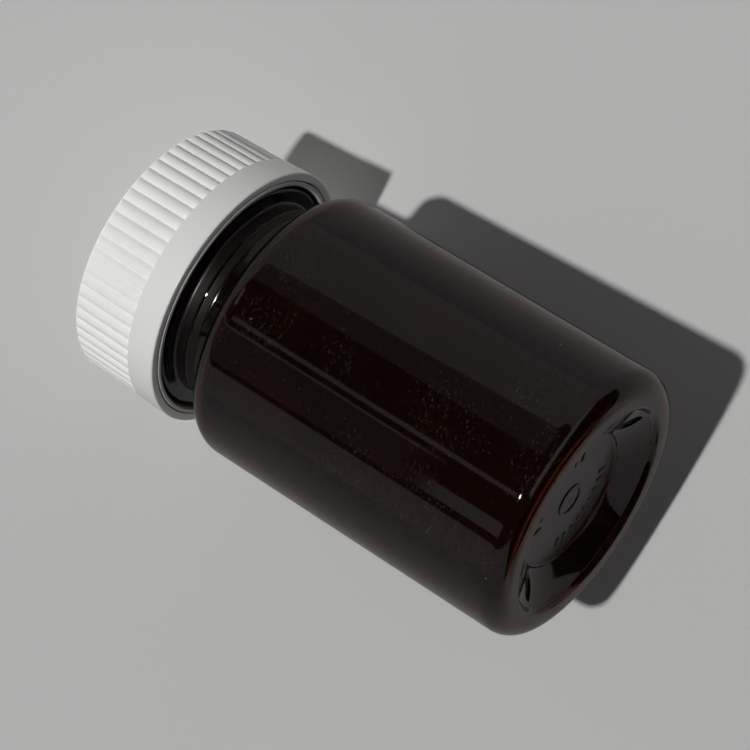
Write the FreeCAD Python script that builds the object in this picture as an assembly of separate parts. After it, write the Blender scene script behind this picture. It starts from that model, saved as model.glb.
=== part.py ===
"""A small screw-capped packer bottle for tablets, with a push-and-turn closure.

Four pieces, each in its own STEP file: the blown bottle with its thread, the
sealing liner, the threaded inner cap and the ribbed outer shell that turns it.
All sizes are millimetres. The bottle stands on z = 0 with its axis on +Z.
"""
import FreeCAD, Part
import math
import os

V = FreeCAD.Vector
UP = V(0, 0, 1)

# Bottle body
body_diameter = 43.5
body_wall = 0.9
heel_radius = 3.1
shoulder_radius = 3.73
shoulder_slope = 8.0            # degrees, rise of the crown towards the neck
shoulder_height = 58.0          # where the crown would meet the neck
inner_corner = 2.4

# Push-up in the base
foot_inner_radius = 16.9        # inner edge of the standing ring
foot_step = 0.9
foot_step_run = 0.7
panel_radius = 11.0
panel_height = 3.5
panel_step = 0.3
panel_round = 0.12
base_wall = 1.3
foot_blend = 0.3

# Two orienting pockets in the slope of the push-up, mirrored at +X and -X
pocket_length = 5.1
pocket_width = 2.3
pocket_depth = 0.35
pocket_tilt = 35.0              # degrees that the inner end leans towards -Y

# Plain raised marks on the base panel
mark_height = 0.16
mark_ring_radius = 2.7
mark_ring_width = 0.55
mark_arc_radius = 7.0
mark_bar_length = 1.7
mark_bar_width = 0.5
mark_bars_per_arc = 9
mark_bar_pitch = 13.0           # degrees between bars

# Neck and finish (38 mm, one-turn thread)
neck_radius = 16.0
bore_radius = 15.0
neck_root_blend = 1.2
bead_overhang = 1.2             # bead beyond the finish it carries
bead_underside = 64.3
bead_rise = 0.35
bead_height = 1.9
bead_root_round = 0.6
bead_edge_round = 0.9
bead_top_round = 0.6
finish_root_round = 0.4
finish_radius = 17.4
finish_height = 9.5
mouth_round = 0.5
thread_pitch = 4.233
thread_turns = 1.1
thread_depth = 1.2
thread_root_half = 1.15
thread_crest_half = 0.5
thread_start_drop = 1.3         # mouth to the top of the thread
inner_fade_radius = 10.0        # curve along which the cap's ridge runs out
fade_sink = 0.05                # how far a faded end passes into its wall

# Closure
seal_gap = 0.1
liner_thickness = 0.8
liner_clearance = 0.35
seat_gap = 0.05
inner_top_wall = 1.0
inner_skirt_wall = 0.75
bead_clearance = 0.35           # bead or thread to the skirt that passes over it
thread_clearance = 0.3
flank_clearance = 0.2
inner_thread_turns = 1.0
inner_thread_root_half = 1.0
inner_thread_crest_half = 0.45
inner_rim_drop = 0.15           # bottom of the skirt below the bead's underside
rim_chamfer = 0.25
inner_corner_round = 0.2
inner_edge_round = 0.1
inner_top_round = 0.7
lug_count = 8
lug_height = 0.55
lug_inner_radius = 11.0
lug_outer_radius = 16.5
lug_angle = 15.0
snap_depth = 0.35
snap_reach = 0.21               # how far the shell's bead goes into the groove
snap_lead = 0.12                # height of the bead's sloping sides
snap_rise = 1.25                # rim to the lower side of the snap groove
snap_bead_height = 0.6
snap_play = 0.2
press_travel = 0.7              # how far the shell pushes down on the inner cap
press_stop_gap = 0.15           # left under the teeth when pushed fully down
shell_gap = 0.2                 # radial, inner skirt to shell
shell_wall = 1.3
shell_top_wall = 1.1
shell_rim_lift = 0.1            # shell's end above the inner cap's rim
band_height = 4.9
band_taper = 0.16
band_step = 0.1
rib_taper = 0.14
shell_edge_round = 1.06
shell_corner_round = 0.4
shell_lip_inner_round = 0.15
shell_lip_outer_round = 0.25
band_round = 0.08
rib_count = 62
groove_depth = 0.39
groove_share = 0.12             # groove width as a share of the rib pitch
rib_crown = 0.33                # rise of a rib's middle over its sides

embed = 0.3                     # how far a raised form runs into its wall

# Derived radii and heights
body_radius = body_diameter / 2
bead_radius = finish_radius + bead_overhang
bead_top = bead_underside + bead_height
mouth_height = bead_top + finish_height
thread_top_centre = mouth_height - thread_start_drop - thread_root_half
thread_start = thread_top_centre - thread_pitch * thread_turns
skirt_inner_radius = finish_radius + max(bead_overhang, thread_depth) + bead_clearance
skirt_outer_radius = skirt_inner_radius + inner_skirt_wall
liner_bottom = mouth_height + seal_gap
liner_top = liner_bottom + liner_thickness
inner_top_under = liner_top + seat_gap
inner_top = inner_top_under + inner_top_wall
inner_rim = bead_underside - inner_rim_drop
shell_under = inner_top + lug_height + press_travel + press_stop_gap
snap_groove_height = snap_bead_height + press_travel + 2 * snap_play
shell_top = shell_under + shell_top_wall
shell_rim = inner_rim + shell_rim_lift
shell_inner_radius = skirt_outer_radius + shell_gap
shell_outer_radius = shell_inner_radius + shell_wall
band_top = shell_rim + band_height
band_top_radius = shell_outer_radius - band_taper
rib_radius = band_top_radius - band_step
rib_top_radius = rib_radius - rib_taper


def arc_through(start, tip, end):
    """An edge along the arc from start to end by way of tip."""
    return Part.Arc(start, tip, end).toShape()


def outline_face(corners):
    """A face in the XZ plane whose corners are (radius, height, rounding)."""
    points = [V(r, 0, z) for r, z, _ in corners]
    count = len(points)
    spans = []
    for i, corner in enumerate(points):
        before = (points[i - 1] - corner).normalize()
        after = (points[(i + 1) % count] - corner).normalize()
        rounding = corners[i][2]
        if rounding == 0:
            spans.append((corner, None, corner))
            continue
        half_turn = before.getAngle(after) / 2
        reach = rounding / math.tan(half_turn)
        middle = (before + after).normalize()
        tip = corner + middle * (rounding / math.sin(half_turn) - rounding)
        spans.append((corner + before * reach, tip, corner + after * reach))
    edges = []
    for i, (start, tip, end) in enumerate(spans):
        if tip is not None:
            edges.append(arc_through(start, tip, end))
        following = spans[(i + 1) % count][0]
        if end.distanceToPoint(following) > 1e-6:
            edges.append(Part.LineSegment(end, following).toShape())
    return Part.Face(Part.Wire(edges))


def turned(corners):
    """The solid of revolution of an outline about the bottle's axis."""
    return outline_face(corners).revolve(V(0, 0, 0), UP, 360)


def fade_cutter(radius, crest_radius, root_half):
    """What lets a ridge's end at +X run out into its wall instead of stopping."""
    low = -root_half - embed
    height = -2 * low
    if crest_radius < radius:
        centre = V(radius + fade_sink - inner_fade_radius, 0, low)
        return Part.makeCylinder(inner_fade_radius, height, centre)
    reach = math.sqrt(crest_radius ** 2 - radius ** 2) + thread_depth
    corner = V(radius - fade_sink, -reach, low)
    return Part.makeBox(2 * thread_depth, 2 * reach, height, corner)


def helical_ridge(radius, crest_radius, start, turns, root_half, crest_half):
    """A right-handed ridge of trapezium section; radius is its wall's."""
    inward = 1 if crest_radius > radius else -1
    root = radius - inward * embed
    flank = (root_half - crest_half) / abs(crest_radius - radius)
    root_half_deep = root_half + flank * embed
    section = [
        V(root, 0, start - root_half_deep),
        V(crest_radius, 0, start - crest_half),
        V(crest_radius, 0, start + crest_half),
        V(root, 0, start + root_half_deep),
    ]
    profile = Part.makePolygon(section + section[:1])
    helix = Part.makeHelix(thread_pitch, thread_pitch * turns, radius)
    helix.translate(V(0, 0, start))
    ridge = Part.Wire(helix.Edges).makePipeShell([profile], True, True)
    for turn in (0, turns):
        fade = fade_cutter(radius, crest_radius, root_half)
        fade.translate(V(0, 0, start + thread_pitch * turn))
        fade.rotate(V(0, 0, 0), UP, 360 * turn)
        ridge = ridge.cut(fade)
    return ridge


def ring_sector(inner, outer, bottom, height, start_angle, span):
    """A block between two radii that spans an angle about the axis."""
    ring = Part.makeCylinder(outer, height, V(0, 0, bottom), UP, span)
    ring = ring.cut(Part.makeCylinder(inner, height, V(0, 0, bottom), UP, 360))
    return ring.rotate(V(0, 0, 0), UP, start_angle)


def bottle_outline():
    """Corners of the bottle's wall, from the base panel round to the inside."""
    crown_fall = math.tan(math.radians(shoulder_slope))
    outer_crown = shoulder_height - (body_radius - neck_radius) * crown_fall
    inner_radius = body_radius - body_wall
    inner_crown = outer_crown - body_wall
    inner_neck = inner_crown + (inner_radius - bore_radius) * crown_fall
    return [
        (0, panel_height, 0),
        (panel_radius, panel_height, panel_round),
        (panel_radius + panel_step / 2, panel_height - panel_step, panel_round),
        (foot_inner_radius - foot_step_run, foot_step, foot_blend),
        (foot_inner_radius, 0, foot_blend),
        (body_radius, 0, heel_radius),
        (body_radius, outer_crown, shoulder_radius),
        (neck_radius, shoulder_height, neck_root_blend),
        (neck_radius, bead_underside, bead_root_round),
        (bead_radius, bead_underside + bead_rise, bead_edge_round),
        (bead_radius, bead_top, bead_top_round),
        (finish_radius, bead_top, finish_root_round),
        (finish_radius, mouth_height, mouth_round),
        (bore_radius, mouth_height, mouth_round),
        (bore_radius, inner_neck, neck_root_blend),
        (inner_radius, inner_crown, shoulder_radius - body_wall),
        (inner_radius, base_wall, inner_corner),
        (foot_inner_radius + foot_blend, base_wall, base_wall),
        (panel_radius - panel_step, panel_height + base_wall, base_wall),
        (0, panel_height + base_wall, 0),
    ]


def pocket_cutter():
    """A lens-shaped cutter laid aslant on the slope of the push-up, at +X."""
    outer = V(foot_inner_radius - foot_step_run, 0, foot_step)
    inner = V(panel_radius + panel_step / 2, 0, panel_height - panel_step)
    uphill = (inner - outer).normalize()
    into = V(0, 1, 0).cross(uphill)
    tilt = math.radians(pocket_tilt)
    along = uphill * math.cos(tilt) - V(0, 1, 0) * math.sin(tilt)
    middle = (outer + inner) * 0.5 - into * pocket_depth
    side = into.cross(along) * (pocket_width / 2)
    half = along * (pocket_length / 2)
    face = Part.Face(Part.Wire([
        arc_through(middle - half, middle + side, middle + half),
        arc_through(middle + half, middle - side, middle - half),
    ]))
    return face.extrude(into * (2 * pocket_depth))


def base_marks():
    """Plain raised marks on the base panel: a ring and two arcs of bars."""
    low = panel_height - mark_height
    height = mark_height + embed
    ring = Part.makeCylinder(mark_ring_radius, height, V(0, 0, low))
    hollow = Part.makeCylinder(mark_ring_radius - mark_ring_width, height, V(0, 0, low))
    marks = [ring.cut(hollow)]
    first = -mark_bar_pitch * (mark_bars_per_arc - 1) / 2
    for facing in (90, 270):
        for i in range(mark_bars_per_arc):
            bar = Part.makeBox(mark_bar_length, mark_bar_width, height,
                               V(mark_arc_radius, -mark_bar_width / 2, low))
            bar.rotate(V(0, 0, 0), UP, facing + first + i * mark_bar_pitch)
            marks.append(bar)
    return marks


def make_bottle():
    """The one-piece bottle: wall, push-up, pockets, marks, bead and thread."""
    solid = turned(bottle_outline())
    pocket = pocket_cutter()
    solid = solid.cut([pocket, pocket.mirror(V(0, 0, 0), V(1, 0, 0))])
    ridge = helical_ridge(finish_radius, finish_radius + thread_depth, thread_start,
                          thread_turns, thread_root_half, thread_crest_half)
    return solid.fuse(base_marks() + [ridge])


def make_liner():
    """The sealing disc that sits in the inner cap over the mouth."""
    radius = skirt_inner_radius - liner_clearance
    return Part.makeCylinder(radius, liner_thickness, V(0, 0, liner_bottom))


def inner_thread_start():
    """Height where the cap's ridge starts, and the angle that it starts at."""
    crest = finish_radius + thread_clearance
    bottle_flank = (thread_root_half - thread_crest_half) / thread_depth
    bottle_half = thread_root_half - (crest - finish_radius) * bottle_flank
    offset = bottle_half + inner_thread_crest_half + flank_clearance
    lowest = bead_top + thread_clearance + inner_thread_root_half
    on_helix = thread_start - offset
    return lowest, (lowest - on_helix) / thread_pitch * 360


def make_inner_cap():
    """The threaded inner cap: skirt, top, drive lugs and snap groove."""
    groove_low = inner_rim + snap_rise
    groove_high = groove_low + snap_groove_height
    solid = turned([
        (0, inner_top_under, 0),
        (skirt_inner_radius, inner_top_under, inner_corner_round),
        (skirt_inner_radius, inner_rim + rim_chamfer, 0),
        (skirt_inner_radius + rim_chamfer, inner_rim, 0),
        (skirt_outer_radius, inner_rim, inner_edge_round),
        (skirt_outer_radius, groove_low, inner_edge_round),
        (skirt_outer_radius - snap_depth, groove_low, inner_edge_round),
        (skirt_outer_radius - snap_depth, groove_high, inner_edge_round),
        (skirt_outer_radius, groove_high, inner_edge_round),
        (skirt_outer_radius, inner_top, inner_top_round),
        (0, inner_top, 0),
    ])
    start, angle = inner_thread_start()
    ridge = helical_ridge(skirt_inner_radius, finish_radius + thread_clearance, start,
                          inner_thread_turns, inner_thread_root_half, inner_thread_crest_half)
    ridge.rotate(V(0, 0, 0), UP, angle)
    pieces = [ridge]
    for i in range(lug_count):
        middle = 360 / lug_count * i
        pieces.append(ring_sector(lug_inner_radius, lug_outer_radius, inner_top - embed,
                                  lug_height + embed, middle - lug_angle / 2, lug_angle))
    return solid.fuse(pieces)


def rib_wire(crest, height):
    """A closed ring of round ribs that meet in narrow grooves, one of them at +X."""
    pitch = 2 * math.pi / rib_count
    half_rib = pitch * (1 - groove_share) / 2
    side = crest - rib_crown

    def at(radius, angle):
        return V(radius * math.cos(angle), radius * math.sin(angle), height)

    edges = []
    for i in range(rib_count):
        middle = (i + 0.5) * pitch
        groove = middle + pitch / 2
        start, end = middle - half_rib, middle + half_rib
        edges.append(arc_through(at(side, start), at(crest, middle), at(side, end)))
        edges.append(arc_through(at(side, end), at(crest - groove_depth, groove),
                                 at(side, start + pitch)))
    return Part.Wire(edges)


def make_outer_cap():
    """The ribbed shell: band, ribs, snap bead and drive teeth."""
    bead_high = inner_rim + snap_rise + snap_groove_height - snap_play
    bead_low = bead_high - snap_bead_height
    bead_inner = skirt_outer_radius - snap_reach
    envelope = turned([
        (0, shell_under, 0),
        (shell_inner_radius, shell_under, shell_corner_round),
        (shell_inner_radius, bead_high, 0),
        (bead_inner, bead_high - snap_lead, 0),
        (bead_inner, bead_low + snap_lead, 0),
        (shell_inner_radius, bead_low, 0),
        (shell_inner_radius, shell_rim, shell_lip_inner_round),
        (shell_outer_radius, shell_rim, shell_lip_outer_round),
        (band_top_radius, band_top, band_round),
        (rib_radius, band_top, 0),
        (rib_top_radius, shell_top, shell_edge_round),
        (0, shell_top, 0),
    ])
    ribs = Part.makeLoft([rib_wire(rib_radius, band_top),
                          rib_wire(rib_top_radius, shell_top)], True, True)
    band = Part.makeCylinder(shell_outer_radius + embed, band_height + embed,
                             V(0, 0, shell_rim - embed))
    solid = envelope.common(ribs.fuse(band))
    teeth = []
    for i in range(lug_count):
        middle = 360 / lug_count * (i + 0.5)
        teeth.append(ring_sector(lug_inner_radius, lug_outer_radius, shell_under - lug_height,
                                 lug_height + embed, middle - lug_angle / 2, lug_angle))
    return solid.fuse(teeth)


def save(name, shape):
    """Clean a solid and write it to its STEP file."""
    shape = shape.removeSplitter()
    solid = shape.Solids[0]
    print(f"{name}: {len(shape.Solids)} solid, valid {solid.isValid()}, "
          f"{solid.Volume:.0f} mm3, {len(solid.Faces)} faces")
    solid.exportStep(f"parts/{name}.step")


def main():
    """Build and save every piece."""
    os.makedirs("parts", exist_ok=True)
    save("bottle", make_bottle())
    save("liner", make_liner())
    save("inner_cap", make_inner_cap())
    save("outer_cap", make_outer_cap())


main()
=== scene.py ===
"""Looks for a dark amber packer bottle and its two-piece, ribbed, push-and-turn cap.

Lengths are metres in the part's own frame: the bottle stands on z = 0 with its
axis on +Z. Each sub-assembly is a class that builds its meshes and dresses them.
"""

import logging
import math
from dataclasses import dataclass
from enum import Enum
from typing import Any, Callable, Iterable, Sequence

import bmesh
import bpy
from mathutils import Matrix, Vector


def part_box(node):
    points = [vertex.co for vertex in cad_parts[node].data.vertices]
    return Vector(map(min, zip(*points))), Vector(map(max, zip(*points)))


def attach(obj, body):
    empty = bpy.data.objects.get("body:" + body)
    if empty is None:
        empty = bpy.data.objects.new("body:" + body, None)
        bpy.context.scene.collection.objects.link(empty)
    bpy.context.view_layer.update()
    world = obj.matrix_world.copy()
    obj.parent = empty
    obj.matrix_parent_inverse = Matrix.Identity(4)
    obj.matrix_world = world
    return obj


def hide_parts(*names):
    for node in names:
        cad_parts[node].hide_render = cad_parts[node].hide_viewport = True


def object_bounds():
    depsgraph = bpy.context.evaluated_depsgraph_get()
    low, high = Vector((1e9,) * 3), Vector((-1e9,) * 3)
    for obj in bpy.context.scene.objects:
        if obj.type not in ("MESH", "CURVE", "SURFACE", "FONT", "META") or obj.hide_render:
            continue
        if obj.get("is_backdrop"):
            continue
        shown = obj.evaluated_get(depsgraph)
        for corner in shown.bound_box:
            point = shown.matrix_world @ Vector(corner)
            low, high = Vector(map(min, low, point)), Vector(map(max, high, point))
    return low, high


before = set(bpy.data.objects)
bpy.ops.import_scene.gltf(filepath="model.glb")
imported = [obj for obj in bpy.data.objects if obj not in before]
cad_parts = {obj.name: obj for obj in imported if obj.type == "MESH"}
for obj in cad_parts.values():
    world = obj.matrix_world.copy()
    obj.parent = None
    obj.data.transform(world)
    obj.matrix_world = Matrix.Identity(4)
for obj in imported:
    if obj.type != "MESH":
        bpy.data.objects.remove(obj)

LOG = logging.getLogger("packer_bottle")
MM = 0.001
TURN = 2 * math.pi
RING_WELD = 0.002 * MM
HELIX_WELD = 0.0005 * MM
WHITE_LIGHT = (1.0, 1.0, 1.0, 1.0)

Colour = tuple[float, float, float]
Corner = tuple[float, float, float]
Row = tuple[float, float, float]
Point = tuple[float, float]
Face = tuple[int, ...]


class Body(Enum):
    """The moving bodies that pieces ride on."""

    BOTTLE = "bottle"
    LINER = "liner"
    INNER_CAP = "inner_cap"
    OUTER_CAP = "outer_cap"


class Slot(Enum):
    """The material slots that finishes stand for."""

    AMBER = "amber_bottle"
    SHELL = "white_shell"
    INNER = "white_inner"
    BOARD = "liner_board"


# ---------------------------------------------------------------- node trees


class Graph:
    """A node tree that is built by calls."""

    def __init__(self, tree: bpy.types.NodeTree) -> None:
        """Keep the tree that nodes are added to."""
        self.tree = tree

    def add(self, kind: str, settings: dict[str, Any] | None = None,
            inputs: dict[str | int, Any] | None = None) -> bpy.types.Node:
        """Add one node, with its settings before its sockets.

        Args:
            kind: The node's type, such as ShaderNodeMath.
            settings: Properties of the node.
            inputs: Values or links by the socket's identifier, name or index.

        Returns:
            The new node.
        """
        node = self.tree.nodes.new(kind)
        for name, value in (settings or {}).items():
            setattr(node, name, value)
        for key, value in (inputs or {}).items():
            self._feed(self._socket(node, key), value)
        return node

    def value(self, kind: str, settings: dict[str, Any] | None = None,
              inputs: dict[str | int, Any] | None = None, out: str | int = 0) -> "Value":
        """Add one node as add does, and wrap its output of the given name or index."""
        return Value(self, self.add(kind, settings, inputs).outputs[out])

    def mix(self, factor: Any, low: Any, high: Any) -> "Value":
        """Blend two colours.

        Args:
            factor: 0 gives low and 1 gives high.
            low: The first colour or link.
            high: The second colour or link.

        Returns:
            The blended colour.
        """
        node = self.add("ShaderNodeMix", {"data_type": "RGBA"},
                        {"Factor_Float": factor, "A_Color": low, "B_Color": high})
        found = next(s for s in node.outputs if s.identifier == "Result_Color")
        return Value(self, found)

    def vector(self, x: Any, y: Any, z: Any) -> "Value":
        """Join three numbers into a vector."""
        return self.value("ShaderNodeCombineXYZ", inputs={"X": x, "Y": y, "Z": z})

    def split(self, vector: "Value") -> tuple["Value", "Value", "Value"]:
        """Part a vector into its x, y and z."""
        node = self.add("ShaderNodeSeparateXYZ", inputs={"Vector": vector})
        return tuple(Value(self, socket) for socket in node.outputs)

    def show(self, surface: "Value", kind: str = "ShaderNodeOutputMaterial") -> None:
        """End the tree with the shader that it shows."""
        self.add(kind, inputs={"Surface": surface})

    @staticmethod
    def _socket(node: bpy.types.Node, key: str | int) -> bpy.types.NodeSocket:
        """Find an input.

        Args:
            node: The node that has it.
            key: Its index, identifier or name.

        Returns:
            The socket.
        """
        if isinstance(key, int):
            return node.inputs[key]
        for socket in node.inputs:
            if socket.identifier == key:
                return socket
        return node.inputs[key]

    def _feed(self, socket: bpy.types.NodeSocket, value: Any) -> None:
        """Feed an input.

        Args:
            socket: The input.
            value: A Value to link, or a plain value to set.
        """
        if isinstance(value, Value):
            self.tree.links.new(value.socket, socket)
        else:
            socket.default_value = value


class Value:
    """An output socket; expressions on it add Math nodes."""

    def __init__(self, graph: Graph, socket: bpy.types.NodeSocket) -> None:
        """Wrap an output socket of a tree."""
        self.graph = graph
        self.socket = socket

    def math(self, operation: str, *others: Any) -> "Value":
        """Add a Math node whose first input is this value."""
        inputs = dict(enumerate((self, *others)))
        return self.graph.value("ShaderNodeMath", {"operation": operation}, inputs)

    def _swapped(self, operation: str, first: float) -> "Value":
        """Add a Math node whose second input is this value."""
        return self.graph.value("ShaderNodeMath", {"operation": operation}, {0: first, 1: self})

    def __add__(self, other: Any) -> "Value":
        """Return the sum."""
        return self.math("ADD", other)

    def __sub__(self, other: Any) -> "Value":
        """Return the difference."""
        return self.math("SUBTRACT", other)

    def __rsub__(self, other: float) -> "Value":
        """Return the difference, reflected."""
        return self._swapped("SUBTRACT", other)

    def __mul__(self, other: Any) -> "Value":
        """Return the product."""
        return self.math("MULTIPLY", other)

    def __truediv__(self, other: Any) -> "Value":
        """Return the quotient."""
        return self.math("DIVIDE", other)

    def __rtruediv__(self, other: float) -> "Value":
        """Return the quotient, reflected."""
        return self._swapped("DIVIDE", other)

    __radd__ = __add__
    __rmul__ = __mul__

    def rise(self, low: float, high: float) -> "Value":
        """Go smoothly from 0 at low to 1 at high.

        Args:
            low: Where the rise starts.
            high: Where it ends; below low, the rise is turned round.

        Returns:
            The mask.
        """
        ends = {"From Min": low, "From Max": high, "To Min": 0.0, "To Max": 1.0}
        if high < low:
            ends = {"From Min": high, "From Max": low, "To Min": 1.0, "To Max": 0.0}
        return self.graph.value("ShaderNodeMapRange", {"interpolation_type": "SMOOTHSTEP"},
                                {"Value": self, **ends})

    def within(self, low: float, high: float, soft: float) -> "Value":
        """Be 1 between two limits, with edges that reach soft to both sides of them."""
        return self.rise(low - soft, low + soft) * self.rise(high + soft, high - soft)


# ------------------------------------------------------------------ finishes


def new_material(name: str) -> tuple[bpy.types.Material, Graph]:
    """Make an empty node material.

    Args:
        name: The material's name.

    Returns:
        The material and its tree.
    """
    material = bpy.data.materials.new(name)
    material.use_nodes = True
    material.node_tree.nodes.clear()
    return material, Graph(material.node_tree)


def object_place(graph: Graph) -> Value:
    """Read where a point lies on the object, in metres."""
    return graph.value("ShaderNodeTexCoord", out="Object")


def around_axis(graph: Graph, place: Value, radius: float) -> tuple[Value, Value, Value]:
    """Measure a surface of revolution along its girth, height and radius.

    Args:
        graph: The material's tree.
        place: Where the surface is.
        radius: The radius at which girth is measured.

    Returns:
        Girth, height and distance from the axis, in metres.
    """
    x, y, z = graph.split(place)
    girth = x.math("ARCTAN2", y * -1) * radius
    return girth, z, (x * x + y * y).math("SQRT")


def bump(graph: Graph, height: Value, depth: float, normal: Value | None = None) -> Value:
    """Turn a height pattern into a normal.

    Args:
        graph: The tree.
        height: The pattern, from 0 to 1.
        depth: The height that 1 stands for, in metres.
        normal: A normal to add to.

    Returns:
        The normal.
    """
    inputs = {"Height": height, "Distance": depth, "Strength": 1.0}
    if normal is not None:
        inputs["Normal"] = normal
    return graph.value("ShaderNodeBump", inputs=inputs)


@dataclass(frozen=True)
class Mottle:
    """A noise, with its scale in features to the metre and the limits of its mask."""

    scale: float
    detail: float = 2.0
    rough: float = 0.5
    twist: float = 0.0
    limits: Point = (0.0, 1.0)

    def noise(self, graph: Graph, place: Value) -> Value:
        """Add the noise, a number about 0.5."""
        return graph.value("ShaderNodeTexNoise", {"noise_dimensions": "3D"}, {
            "Vector": place, "Scale": self.scale, "Detail": self.detail,
            "Roughness": self.rough, "Distortion": self.twist})

    def mask(self, graph: Graph, place: Value) -> Value:
        """Add the noise and let it rise from 0 to 1 between its limits."""
        return self.noise(graph, place).rise(*self.limits)


@dataclass(frozen=True)
class Streaks:
    """Sparse long thin marks, as handling leaves.

    Lean is their angle from the axis in radians. Keep is a threshold from 0.5 to 1,
    and a higher one leaves fewer marks. Each lean reads a slice of the noise of its own.
    """

    lean: float
    length: float
    width: float
    keep: float
    soft: float = 0.03
    slice_gap: float = 7.0
    field: Mottle = Mottle(1.0, 1.0)

    def mask(self, graph: Graph, girth: Value, height: Value) -> Value:
        """Draw the marks.

        Args:
            graph: The tree.
            girth: Distance round the axis.
            height: Distance along the axis.

        Returns:
            A mask that is 1 in a mark.
        """
        along = height * math.cos(self.lean) + girth * math.sin(self.lean)
        across = girth * math.cos(self.lean) - height * math.sin(self.lean)
        place = graph.vector(along / self.length, across / self.width, self.lean * self.slice_gap)
        return self.field.noise(graph, place).rise(self.keep, self.keep + self.soft)


@dataclass(frozen=True)
class Specks:
    """Small round specks of a radius, in a share of places that lie a spacing apart."""

    spacing: float
    radius: float
    share: float
    core: float = 0.6
    fade: float = 0.9

    def mask(self, graph: Graph, place: Value) -> Value:
        """Scatter the specks.

        Args:
            graph: The tree.
            place: Where the surface is.

        Returns:
            A mask that is 1 in a speck's core.
        """
        cell = graph.add("ShaderNodeTexVoronoi", {"feature": "F1", "voronoi_dimensions": "3D"},
                         {"Vector": place, "Scale": 1 / self.spacing, "Randomness": 1.0})
        near = Value(graph, cell.outputs["Distance"])
        chance, _, _ = graph.split(Value(graph, cell.outputs["Color"]))
        speck = near.rise(self.radius / self.spacing, self.core * self.radius / self.spacing)
        return speck * chance.rise(self.share, self.share * self.fade)


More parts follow.
